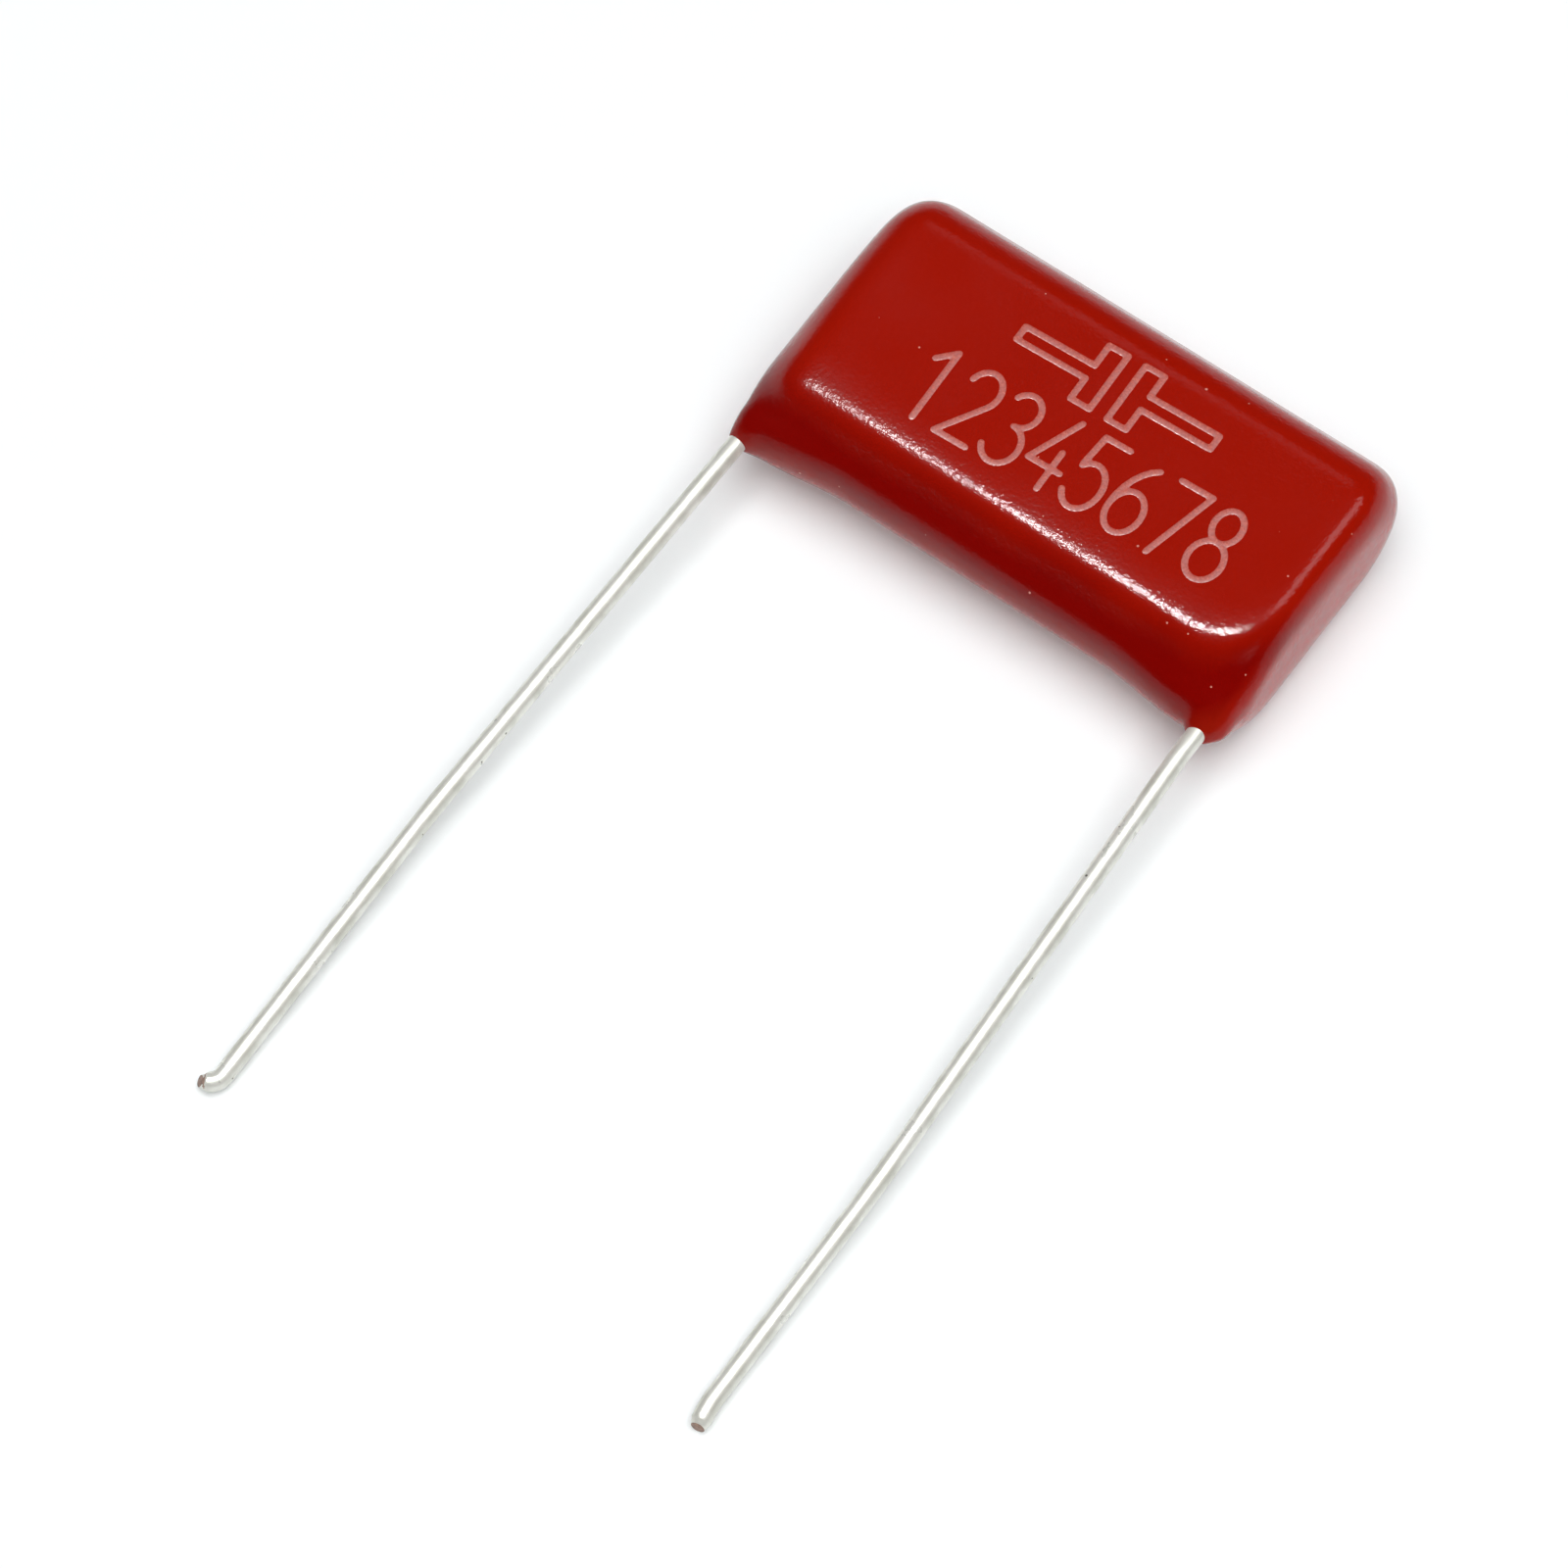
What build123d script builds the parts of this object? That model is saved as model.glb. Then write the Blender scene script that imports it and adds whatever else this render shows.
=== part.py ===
# Radial film capacitor, dipped in red epoxy, with two round wire leads.
# It lies on one broad face, as it comes to rest on a bench.
# Millimetres. X runs along the lead pitch, the leads leave towards -Y, Z is up.
# The origin is on the resting plane, midway between the leads, under the middle of the body's height.

import os
from math import cos, radians, sin, tan

from build123d import *

os.makedirs("parts", exist_ok=True)

# Leads: tinned round wire, welded across the sprayed ends of the winding
pitch = 15.0
wire_diameter = 0.55
weld_sink = 0.15
weld_length = 5.6
tip_edge_chamfer = 0.05

# Winding: metallised film rolled up and pressed flat into an oval
winding_height = 7.95
winding_thickness = 3.15

# Sprayed metal on each end of the winding
spray_thickness = 0.45
spray_edge_chamfer = 0.2

# Epoxy coating: its thickness over each inner piece. It hung thicker on the right as it set.
coat_on_faces = 0.55
coat_on_walls = 0.6
coat_over_left_wire = 0.23
coat_over_right_wire = 0.48

# Section of the coated body: flat faces, leaning flanks and a rounded nose on each long wall
flank_lean = 28.0
flank_shoulder_radius = 1.9
nose_radius = 1.4
end_edge_radius = 1.3

# Meniscus skirts, where the coating climbed the wires as the body was dipped
# Depths are measured into the body from the seating line, gaps in from its end wall
skirt_film = 0.045
skirt_left_reach = 0.18
skirt_right_reach = 0.34
skirt_throat_depth = -0.03
skirt_throat_radius = 0.47
skirt_throat_gap = 0.16
skirt_neck_depth = 0.2
skirt_neck_radius = 0.8
skirt_neck_gap = 0.11
skirt_flare_depth = 0.5
skirt_flare_radius = 1.26
skirt_flare_gap = 0.06
skirt_root_depth = 1.4
skirt_root_radius = 1.68
skirt_root_gap = 0.03

# Routes of the wires: reach is the way past the seating line, splay the way out from the pitch
exit_bend_reach = 0.85
exit_bend_radius = 4.0
slow_bend_radius = 45.0
tip_gap = 0.015

# Left wire: the cutter left a short hook at its tip that turns outwards
left_bend_reach = 13.4
left_bend_splay = 0.39
left_hook_reach = 22.45
left_hook_splay = 0.36
left_hook_angle = 62.0
left_hook_length = 0.47
left_hook_radius = 0.4

# Right wire: a slight outward turn over its last stretch
right_bend_reach = 15.2
right_bend_splay = 0.36
right_turn_reach = 22.1
right_turn_splay = 0.29
right_turn_radius = 2.0
right_tip_length = 0.65
right_tip_splay = 0.4

# Sizes and places that follow from the ones above
wire_radius = wire_diameter / 2
left_side = -(pitch / 2 + wire_radius + coat_over_left_wire)
right_side = pitch / 2 + wire_radius + coat_over_right_wire
body_height = winding_height + 2 * coat_on_walls
body_thickness = winding_thickness + 2 * coat_on_faces
mid_height = body_thickness / 2
seat_line = -body_height / 2
spray_face = pitch / 2 - wire_radius + weld_sink
winding_half_width = spray_face - spray_thickness
weld_end = seat_line + coat_on_walls + weld_length
tip_height = wire_radius + tip_gap


def wire_point(side, reach, splay, tip_reach):
    """A point of a wire's axis. Past the exit bend the wire falls evenly to its tip."""
    share = (reach - exit_bend_reach) / (tip_reach - exit_bend_reach)
    height = mid_height + (tip_height - mid_height) * share
    return (side * (pitch / 2 + splay), seat_line - reach, height)


def make_wire(name, outside_points, bend_radii):
    """Round wire from its weld, through the exit bend, along the points outside the body."""
    side_x = outside_points[0][0]
    with BuildPart() as wire:
        with BuildLine() as route:
            FilletPolyline([(side_x, weld_end, mid_height)] + outside_points, radius=bend_radii)
        with BuildSketch(Plane(origin=route.line @ 0, z_dir=route.line % 0)):
            Circle(wire_radius)
        sweep(path=route.line)
        cut_end = wire.faces().filter_by(GeomType.PLANE).sort_by(Axis.Y)[0]
        chamfer(cut_end.edges(), length=tip_edge_chamfer)
    wire.part.label = name
    export_step(wire.part, f"parts/{name}.step")
    return wire.part


def make_end_spray(name, side, wire):
    """Sprayed metal layer on one end of the winding, with the groove its wire is welded into."""
    with BuildPart() as spray:
        with BuildSketch(Plane.YZ.offset(side * winding_half_width)):
            with Locations((0, mid_height)):
                SlotOverall(winding_height, winding_thickness)
        extrude(amount=side * spray_thickness)
        outer_face = spray.faces().sort_by(Axis.X)[-1 if side > 0 else 0]
        chamfer(outer_face.edges(), length=spray_edge_chamfer)
        add(wire, mode=Mode.SUBTRACT)
    spray.part.label = name
    export_step(spray.part, f"parts/{name}.step")
    return spray.part


def make_skirt(side_wall, reach):
    """Meniscus round one wire: a trumpet that widens from a thin film on the wire to the body."""
    sections = [
        (-reach, wire_radius + skirt_film, 0),
        (skirt_throat_depth, skirt_throat_radius, skirt_throat_gap),
        (skirt_neck_depth, skirt_neck_radius, skirt_neck_gap),
        (skirt_flare_depth, skirt_flare_radius, skirt_flare_gap),
        (skirt_root_depth, skirt_root_radius, skirt_root_gap),
    ]
    side = 1 if side_wall > 0 else -1
    with BuildPart() as skirt:
        for depth, radius, gap in sections:
            middle_x = min(pitch / 2, abs(side_wall) - gap - radius)
            with BuildSketch(Plane.XZ.offset(-seat_line - depth)):
                with Locations((side * middle_x, mid_height)):
                    Circle(radius)
        loft()
    return skirt.part


# Left wire, with its hooked tip
hook_run = left_hook_length * cos(radians(left_hook_angle))
hook_side = left_hook_length * sin(radians(left_hook_angle))
left_tip_reach = left_hook_reach + hook_run
lead_left = make_wire(
    "lead_left",
    [
        wire_point(-1, exit_bend_reach, 0, left_tip_reach),
        wire_point(-1, left_bend_reach, left_bend_splay, left_tip_reach),
        wire_point(-1, left_hook_reach, left_hook_splay, left_tip_reach),
        wire_point(-1, left_tip_reach, left_hook_splay + hook_side, left_tip_reach),
    ],
    [exit_bend_radius, slow_bend_radius, left_hook_radius],
)

# Right wire, with its slight turn at the tip
right_tip_reach = right_turn_reach + right_tip_length
lead_right = make_wire(
    "lead_right",
    [
        wire_point(1, exit_bend_reach, 0, right_tip_reach),
        wire_point(1, right_bend_reach, right_bend_splay, right_tip_reach),
        wire_point(1, right_turn_reach, right_turn_splay, right_tip_reach),
        wire_point(1, right_tip_reach, right_tip_splay, right_tip_reach),
    ],
    [exit_bend_radius, slow_bend_radius, right_turn_radius],
)

# Film winding: all its turns are one solid, a flat-sided oval prism between the sprays
with BuildPart() as film_winding:
    with BuildSketch(Plane.YZ.offset(-winding_half_width)):
        with Locations((0, mid_height)):
            SlotOverall(winding_height, winding_thickness)
    extrude(amount=2 * winding_half_width)
film_winding.part.label = "film_winding"
export_step(film_winding.part, "parts/film_winding.step")

# Sprayed ends
end_spray_left = make_end_spray("end_spray_left", -1, lead_left)
end_spray_right = make_end_spray("end_spray_right", 1, lead_right)

# Epoxy coating: one shell, cast round everything above by dipping
skirts = [make_skirt(left_side, skirt_left_reach), make_skirt(right_side, skirt_right_reach)]
nose_corner = body_height / 2 + nose_radius * (1 / cos(radians(flank_lean)) - 1)
face_corner = nose_corner - mid_height * tan(radians(flank_lean))
with BuildPart() as epoxy_coating:
    with BuildSketch(Plane.YZ.offset(left_side)) as coat_section:
        with BuildLine():
            Polyline(
                (-nose_corner, mid_height),
                (-face_corner, 0),
                (face_corner, 0),
                (nose_corner, mid_height),
                (face_corner, body_thickness),
                (-face_corner, body_thickness),
                close=True,
            )
        make_face()
        by_reach = coat_section.vertices().group_by(Axis.X)
        fillet(by_reach[0] + by_reach[-1], radius=nose_radius)
        by_level = coat_section.vertices().group_by(Axis.Y)
        fillet(by_level[0] + by_level[-1], radius=flank_shoulder_radius)
    extrude(amount=right_side - left_side)
    end_faces = epoxy_coating.faces().filter_by(Axis.X)
    fillet(end_faces.edges(), radius=end_edge_radius)
    for skirt in skirts:
        add(skirt)
    for inner_piece in (film_winding.part, end_spray_left, end_spray_right, lead_left, lead_right):
        add(inner_piece, mode=Mode.SUBTRACT)
epoxy_coating.part.label = "epoxy_coating"
export_step(epoxy_coating.part, "parts/epoxy_coating.step")
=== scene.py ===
"""Looks of a dipped film capacitor: glossy red epoxy coat, two tinned leads and an etched marking.

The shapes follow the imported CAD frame, in metres. X runs along the lead pitch, leads point to -Y.
"""

import math

import bmesh
import bpy
from bpy.props import (
    FloatProperty,
    FloatVectorProperty,
    IntProperty,
    PointerProperty,
    StringProperty,
)
from bpy.types import Operator, Panel, PropertyGroup
from mathutils import Matrix, Vector
from mathutils.bvhtree import BVHTree


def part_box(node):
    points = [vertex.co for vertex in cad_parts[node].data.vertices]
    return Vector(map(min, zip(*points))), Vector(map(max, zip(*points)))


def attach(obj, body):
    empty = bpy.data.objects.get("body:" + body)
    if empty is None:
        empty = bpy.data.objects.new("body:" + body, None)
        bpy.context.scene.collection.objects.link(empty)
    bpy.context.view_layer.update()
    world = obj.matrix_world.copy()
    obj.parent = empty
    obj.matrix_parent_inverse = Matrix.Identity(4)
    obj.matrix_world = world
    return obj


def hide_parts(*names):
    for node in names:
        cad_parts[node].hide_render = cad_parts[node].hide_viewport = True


bl_info = {
    "name": "Dipped film capacitor",
    "version": (1, 0, 0),
    "blender": (4, 5, 0),
    "location": "3D View > Sidebar > Capacitor",
    "description": "Builds the looks of a dipped film capacitor around its CAD frame",
    "category": "Add Mesh",
}

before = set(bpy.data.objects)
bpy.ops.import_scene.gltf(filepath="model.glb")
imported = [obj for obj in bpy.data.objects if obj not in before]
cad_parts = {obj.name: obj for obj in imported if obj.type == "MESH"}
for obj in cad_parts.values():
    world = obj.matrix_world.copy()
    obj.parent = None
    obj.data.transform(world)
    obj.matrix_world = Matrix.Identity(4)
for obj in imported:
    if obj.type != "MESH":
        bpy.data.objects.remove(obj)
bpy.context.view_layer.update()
MM = 0.001

# The coated body alone. Its skirts reach past it towards the leads, so its extent towards them is
# taken from the other side, which is as far from the origin.
COAT_LOW, COAT_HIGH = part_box("epoxy_coating")
BODY_LOW = Vector((COAT_LOW.x, -COAT_HIGH.y, COAT_LOW.z))
BODY_HIGH = Vector(COAT_HIGH)
BODY_MIDDLE = (BODY_LOW + BODY_HIGH) / 2
BODY_SIZE = BODY_HIGH - BODY_LOW
SEAT_LINE = BODY_LOW.y

LEAD_PITCH_MM = 15.0
LEAD_OFFSET = LEAD_PITCH_MM / 2 * MM

# How far a face's normal must agree with a direction: to face it squarely, or to be part of a cut
SQUARELY = 0.99
CUT_FACING = 0.6

# Fineness of the drawn shapes
ROUND_SEGMENTS = 14
DOME_RINGS = 12
SKIRT_SIDES = 40
WIRE_SIDES = 28
CUT_RINGS = 4
ARC_STEP = 12

# The meniscus on each wire, from its root: depth into the body, radius, and gap to the body's end
# wall. Its last section is the thin film, which reaches further down the right wire.
SKIRT_SECTIONS = [
    (1.4 * MM, 1.68 * MM, 0.03 * MM),
    (0.5 * MM, 1.26 * MM, 0.06 * MM),
    (0.2 * MM, 0.8 * MM, 0.11 * MM),
    (-0.03 * MM, 0.47 * MM, 0.16 * MM),
]
FILM_RADIUS = 0.34 * MM
LEFT_FILM_REACH = 0.14 * MM
RIGHT_FILM_REACH = 0.24 * MM

# Where the wet coat ran, in millimetres. A pair says where a shift starts and where it is full.
CROWN_Z = (2.6, 3.9)
CROWN_START_Y = -1.9
SHOULDER_Z = (2.0, 4.2)
SHOULDER_Y = (-0.4, -2.2)
TURN_START_X = 6.1
TURN_RATE = 0.34
LEFT_CORNER_X = (-4.8, -6.4)
LEFT_CORNER_Y = (1.5, -3.0)
LEFT_SKIRT_X = (-7.0, -4.2)
RIGHT_SKIRT_X = (6.8, 4.0)
FRONT_WALL_Z = (4.2, 2.3)
FRONT_WALL_Y = (-1.8, -3.4)

# Each wire past its exit bend: its (reach, splay) stations and the radius of its last bend. The
# cutter squeezed its last bit to a share of its width and slanted its cut about an axis.
CUT_LENGTH = 0.2 * MM
HOOK_ANGLE = math.radians(62.0)
HOOK_LENGTH = 0.47 * MM
HOOK_START = (22.45 * MM, 0.36 * MM)
HOOK_TIP = (
    HOOK_START[0] + HOOK_LENGTH * math.cos(HOOK_ANGLE),
    HOOK_START[1] + HOOK_LENGTH * math.sin(HOOK_ANGLE),
)
WIRES = {
    "lead_left": {
        "side": -1,
        "stations": [(13.4 * MM, 0.39 * MM), HOOK_START, HOOK_TIP],
        "last_radius": 0.4 * MM,
        "pinch": 0.6,
        "slant_axis": "Y",
        "slant": math.radians(-40.0),
    },
    "lead_right": {
        "side": 1,
        "stations": [(15.2 * MM, 0.36 * MM), (22.1 * MM, 0.29 * MM), (22.75 * MM, 0.4 * MM)],
        "last_radius": 2.0 * MM,
        "pinch": 0.7,
        "slant_axis": "X",
        "slant": math.radians(14.0),
    },
}
DENT_SIZE = 1.1 * MM
DENT_HEIGHT = 0.006 * MM

# Brightness of the light tent from the floor's level to overhead: as its cloth lights the part, and
# as gloss mirrors it, with its paler foot
TENT_CLOTH = [(0.0, 0.14), (0.5, 0.24), (1.0, 0.3)]
TENT_MIRRORED = [(0.0, 0.3), (0.09, 0.14), (0.2, 0.04), (0.35, 0.012), (0.6, 0.008), (1.0, 0.012)]
WHITE = (1.0, 1.0, 1.0)
FLOOR_SIZE = 4.0


def hex_to_linear(code):
    """Linear red, green and blue of an sRGB colour written as six hex digits."""
    parts = [int(code[i : i + 2], 16) / 255 for i in (0, 2, 4)]
    return tuple(c / 12.92 if c <= 0.04045 else ((c + 0.055) / 1.055) ** 2.4 for c in parts)


def length(name, description, millimetres):
    """A size that the user may change, written in millimetres and kept in metres."""
    return FloatProperty(
        name=name,
        description=description,
        default=millimetres * MM,
        subtype="DISTANCE",
        precision=6,
    )


def number(name, description, default):
    """A plain number that the user may change."""
    return FloatProperty(name=name, description=description, default=default)


def angle(name, description, degrees):
    """An angle that the user may change, written in degrees and kept in radians."""
    return FloatProperty(
        name=name, description=description, default=math.radians(degrees), subtype="ANGLE"
    )


def colour(name, description, code):
    """A colour that the user may change, written as an sRGB hex value and kept linear."""
    return FloatVectorProperty(
        name=name,
        description=description,
        default=hex_to_linear(code),
        subtype="COLOR",
        size=3,
        min=0,
        max=1,
    )


class CoatSettings(PropertyGroup):
    """Sizes and colours of the dipped epoxy coat."""

    front_lean: angle("Front lean", "How far the flanks of the front wall lean from upright", 43.0)
    back_lean: angle("Back lean", "The same for the back wall", 32.0)
    nose_radius: length("Nose radius", "Round where the two flanks of a long wall meet", 1.75)
    front_radius: length(
        "Front shoulder radius", "Round between the top face and the front wall", 0.75
    )
    edge_radius: length("Edge radius", "Round of the other three edges of the flat faces", 1.5)
    crown_radius: length(
        "Crown radius", "Slow round by which the top face falls to the front shoulder", 5.5
    )
    crown_width: length("Crown width", "Breadth of that round", 0.9)
    corner_round: number(
        "Corner round", "How sharply the front shoulder turns in at the right corner", 1.0
    )
    corner_tuck: length("Corner tuck", "How far the top of the front left corner is drawn in", 0.2)
    seat_tuck: length("Seat tuck", "How far the front wall is drawn in between the skirts", 0.25)
    left_depth: length(
        "Left end depth", "How far the domed left end bulges out past the long walls", 1.35
    )
    right_depth: length("Right end depth", "The same for the right end", 1.15)
    corner_reach: length(
        "Corner reach", "How far the round of a corner runs along its end, seen from above", 1.3
    )
    end_reach: length(
        "End reach", "How far the round of an end runs down from the flat faces", 1.75
    )
    corner_power: number(
        "Corner power", "Fullness of the corners, seen from above: 2 is an ellipse", 2.0
    )
    left_power: number("Left end power", "Fullness of the left end, seen from the front", 2.0)
    right_power: number(
        "Right end power", "The same for the right end, where the coat hung thicker", 3.2
    )
    voxel: length("Skin mesh", "Size of the faces of the melted skin", 0.1)
    melt_steps: IntProperty(
        name="Melt steps", description="Smoothing passes that run the skirts in", default=16
    )
    sag_size: length("Sag size", "Breadth of the slow waves that the wet coat left", 3.2)
    sag_height: length("Sag height", "Height of those waves", 0.02)
    red: colour("Epoxy red", "Body of the coat", "9D1202")
    # Painted shade: this darker red stands in for the shade on the upper walls, most of all on the
    # front wall, which faces away from the lamps.
    painted_shade_red: colour("Deep red", "Coat on the upper walls, where it hung thicker", "800300")
    # Painted light: this paler red stands in for the light that the floor bounces onto the lower
    # walls.
    painted_light_low_red: colour("Low red", "Thinner coat on the lower walls", "921506")
    # Painted light: this paler red stands in for the fill light on the lower part of the right end.
    painted_light_end_red: colour("End red", "Coat on the right end", "A4180B")
    film_orange: colour("Film orange", "Thin coat at the rim on each wire", "CC3010")
    dust: colour("Dust", "Pale dust caught under the skin", "D08A7C")


class LeadSettings(PropertyGroup):
    """Sizes and colours of the wires. Reach runs past the seating line, splay off the pitch."""

    pitch: length("Lead pitch", "Distance between the wires at the coat", LEAD_PITCH_MM)
    diameter: length("Wire diameter", "Diameter of the tinned wire", 0.55)
    weld_length: length("Weld length", "How far the wire runs up inside the coat", 6.2)
    exit_reach: length(
        "Exit bend", "Reach of the bend where the wire turns down to the bench", 0.85
    )
    exit_radius: length("Exit bend radius", "Radius of that bend", 4.0)
    slow_radius: length("Slow bend radius", "Radius of the faint bend halfway down each wire", 45.0)
    tip_gap: length("Tip gap", "Space under each tip", 0.015)
    step: length("Ring spacing", "Distance between the rings of a wire's mesh", 0.16)
    tin: colour("Tin", "Bright tin skin of the wires", "E6E6DE")
    tin_worn: colour("Worn tin", "Greyer patches of the tin", "D0D0C6")
    pit: colour("Pit", "Small dark pits in the tin", "6F6A60")
    copper: colour("Cut copper", "Copper cladding seen where a tip was cut", "A58573")
    browned: colour("Browned copper", "Darker tears of that copper", "7E655B")


class MarkingSettings(PropertyGroup):
    """The etched marking: one row of plain digits under a plain sign of two plates."""

    digits: StringProperty(name="Digits", description="Plain digits of the row", default="12345678")
    height: length("Digit height", "Height of a digit", 2.3)
    advance: length("Digit advance", "Distance from one digit to the next", 1.27)
    stroke: length("Stroke", "Width of an etched stroke", 0.2)
    relief: length("Relief", "Height of the burnt stroke over the coat", 0.012)
    skin: length("Skin mesh", "Size of the faces of the etched strokes", 0.03)
    row_x: length("Row X", "Middle of the row of digits", 0.86)
    row_y: length("Row Y", "Middle of the row of digits", -0.93)
    row_turn: angle("Row turn", "Turn of the row on the face", 2.2)
    sign_x: length("Sign X", "Middle of the sign over the row", 0.5)
    sign_y: length("Sign Y", "Middle of the sign over the row", 1.65)
    pink: colour("Etched pink", "Epoxy that the etching burnt pale", "B84637")
    scorched: colour("Scorched red", "Darker grains of the strokes", "AC3525")
    chalk: colour("Chalk", "Palest grains of the strokes", "CC7263")


class InnerSettings(PropertyGroup):
    """Colours of the sealed winding and its sprayed ends."""

    film: colour("Film", "Metallised film", "D2D5D8")
    film_edge: colour("Film edge", "Edges of the film's turns", "B4B8BC")
    zinc: colour("Zinc", "Sprayed zinc", "A9ABAD")
    # Painted shade: this darker grey stands in for the shade in the gaps between the zinc droplets.
    painted_zinc_gap_shade: colour("Zinc shade", "Gaps between the zinc droplets", "7F8284")


class StageSettings(PropertyGroup):
    """Camera, lamps and floor."""

    azimuth: angle(
        "Azimuth", "Direction of the camera round the part, from the leads' side", 38.9477
    )
    elevation: angle("Elevation", "Height of the camera over the bench", 64.1735)
    roll: angle("Roll", "Turn of the camera about its own axis", -3.009)
    distance: length("Camera distance", "From the target to the camera", 163.053)
    target_x: length("Target X", "Point that the camera looks at", -1.089)
    target_y: length("Target Y", "Point that the camera looks at", -11.376)
    focal_length: FloatProperty(
        name="Focal length",
        description="Lens of the camera in millimetres",
        default=140.76,
        unit="CAMERA",
    )
    lamp_distance: length("Lamp distance", "From the part to each lamp", 400.0)
    soft_azimuth: angle("Soft lamp azimuth", "Direction of the broad lamp round the part", 60.0)
    soft_elevation: angle("Soft lamp elevation", "Height of the broad lamp", 79.0)
    soft_spread: angle(
        "Soft lamp spread", "Half of the angle that the broad lamp fills, seen from the part", 29.0
    )
    soft_radiance: number(
        "Soft lamp brightness", "Brightness of the broad lamp's face, where white paper is 1", 3.3
    )
    key_azimuth: angle(
        "Key azimuth", "Direction of the left end of the strip lamp round the part", -54.5
    )
    key_elevation: angle("Key elevation", "Height of that end", 71.9)
    key_end_azimuth: angle("Key end azimuth", "Direction of the right end of the strip lamp", 77.0)
    key_end_elevation: angle("Key end elevation", "Height of that end", 78.3)
    key_spread: angle(
        "Key spread", "Half of the angle across the strip lamp, seen from the part", 2.6
    )
    key_radiance: number(
        "Key brightness", "Brightness of the strip lamp's face, where white paper is 1", 175.0
    )
    rim_azimuth: angle("Rim azimuth", "Direction of the weaker lamp behind the part", 136.0)
    rim_elevation: angle("Rim elevation", "Height of the weaker lamp", 55.0)
    rim_spread: angle("Rim spread", "Half of the angle that the weaker lamp fills", 10.0)
    rim_radiance: number("Rim brightness", "Brightness of the weaker lamp's face", 5.5)
    haze_azimuth: angle("Haze azimuth", "Direction of the faint lamp beyond the back wall", -157.0)
    haze_elevation: angle("Haze elevation", "Height of the faint lamp", 47.0)
    haze_spread: angle("Haze spread", "Half of the angle that the faint lamp fills", 6.5)
    haze_radiance: number("Haze brightness", "Brightness of the faint lamp's face", 1.2)
    floor: colour("Floor", "Matt white floor", "F8FBFC")
    floor_glow: number("Floor glow", "Light that the floor adds for the camera", 0.06)
    mirrored_glow: number("Mirrored glow", "Light that the floor adds where gloss mirrors it", 0.13)


def add_node(tree, kind, inputs=None, **settings):
    """Adds a node with its settings. An input is given a value, or the socket that feeds it."""
    node = tree.nodes.new("ShaderNode" + kind)
    for name, value in settings.items():
        setattr(node, name, value)
    for name, value in (inputs or {}).items():
        if isinstance(value, bpy.types.NodeSocket):
            tree.links.new(value, node.inputs[name])
        else:
            node.inputs[name].default_value = value
    return node


def new_material(name, **constants):
    """A material with its Principled shader. Its sockets are named with underscores for spaces."""
    material = bpy.data.materials.new(name)
    material.use_nodes = True
    shader = material.node_tree.nodes["Principled BSDF"]
    for socket, value in constants.items():
        shader.inputs[socket.replace("_", " ")].default_value = value
    return material, material.node_tree, shader


def ramp(tree, factor, stops):
    """A colour ramp over factor, with stops given as (position, colour)."""
    node = add_node(tree, "ValToRGB", {"Fac": factor})
    elements = node.color_ramp.elements
    for position, shade in stops[1:-1]:
        elements.new(position).color = (*shade, 1)
    elements[0].position, elements[0].color = stops[0][0], (*stops[0][1], 1)
    elements[-1].position, elements[-1].color = stops[-1][0], (*stops[-1][1], 1)
    return node.outputs["Color"]


def mix_colour(tree, share, base, other):
    """The base colour mixed towards another one by a share. The other is a colour or a socket."""
    if not isinstance(other, bpy.types.NodeSocket):
        other = (*other, 1)
    inputs = {"Factor": share, "A": base, "B": other}
    return add_node(tree, "Mix", inputs, data_type="RGBA").outputs["Result"]


def greys(stops):
    """Stops of a ramp that drives a number, given as (position, level)."""
    return [(position, (level, level, level)) for position, level in stops]


def calc(tree, operation, *values):
    """One step of arithmetic on sockets and numbers."""
    return add_node(tree, "Math", dict(enumerate(values)), operation=operation).outputs[0]


def map_range(tree, value, start, end, full=1.0):
    """Runs from 0 to full as the value runs from start to end, and stays there beyond them."""
    inputs = {"Value": value, "From Min": start, "From Max": end, "To Max": full}
    return add_node(tree, "MapRange", inputs).outputs["Result"]


def noise(tree, place, size, detail):
    """Soft noise with features of the given size."""
    inputs = {"Vector": place, "Scale": 1 / size, "Detail": detail}
    return add_node(tree, "TexNoise", inputs).outputs["Fac"]


def specks(tree, place, spacing, bare, radius):
    """Is 1 inside round specks about a spacing apart. A share of the cells is left bare."""
    cells = add_node(tree, "TexVoronoi", {"Vector": place, "Scale": 1 / spacing}).outputs
    chance = add_node(tree, "SeparateColor", {"Color": cells["Color"]}).outputs["Red"]
    return calc(tree, "LESS_THAN", cells["Distance"], map_range(tree, chance, bare, 1.0, radius))


def bump(tree, height, distance, base=None):
    """A normal tilted by the height, over another normal if there is one."""
    inputs = {"Height": height, "Distance": distance}
    if base is not None:
        inputs["Normal"] = base
    return add_node(tree, "Bump", inputs).outputs["Normal"]


def ray_kinds(tree):
    """Two sockets: 1 for the camera's own rays, and 1 for the rays that gloss sends out."""
    rays = add_node(tree, "LightPath").outputs
    gloss = calc(tree, "MAXIMUM", rays["Is Glossy Ray"], rays["Is Transmission Ray"])
    return rays["Is Camera Ray"], gloss


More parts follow.
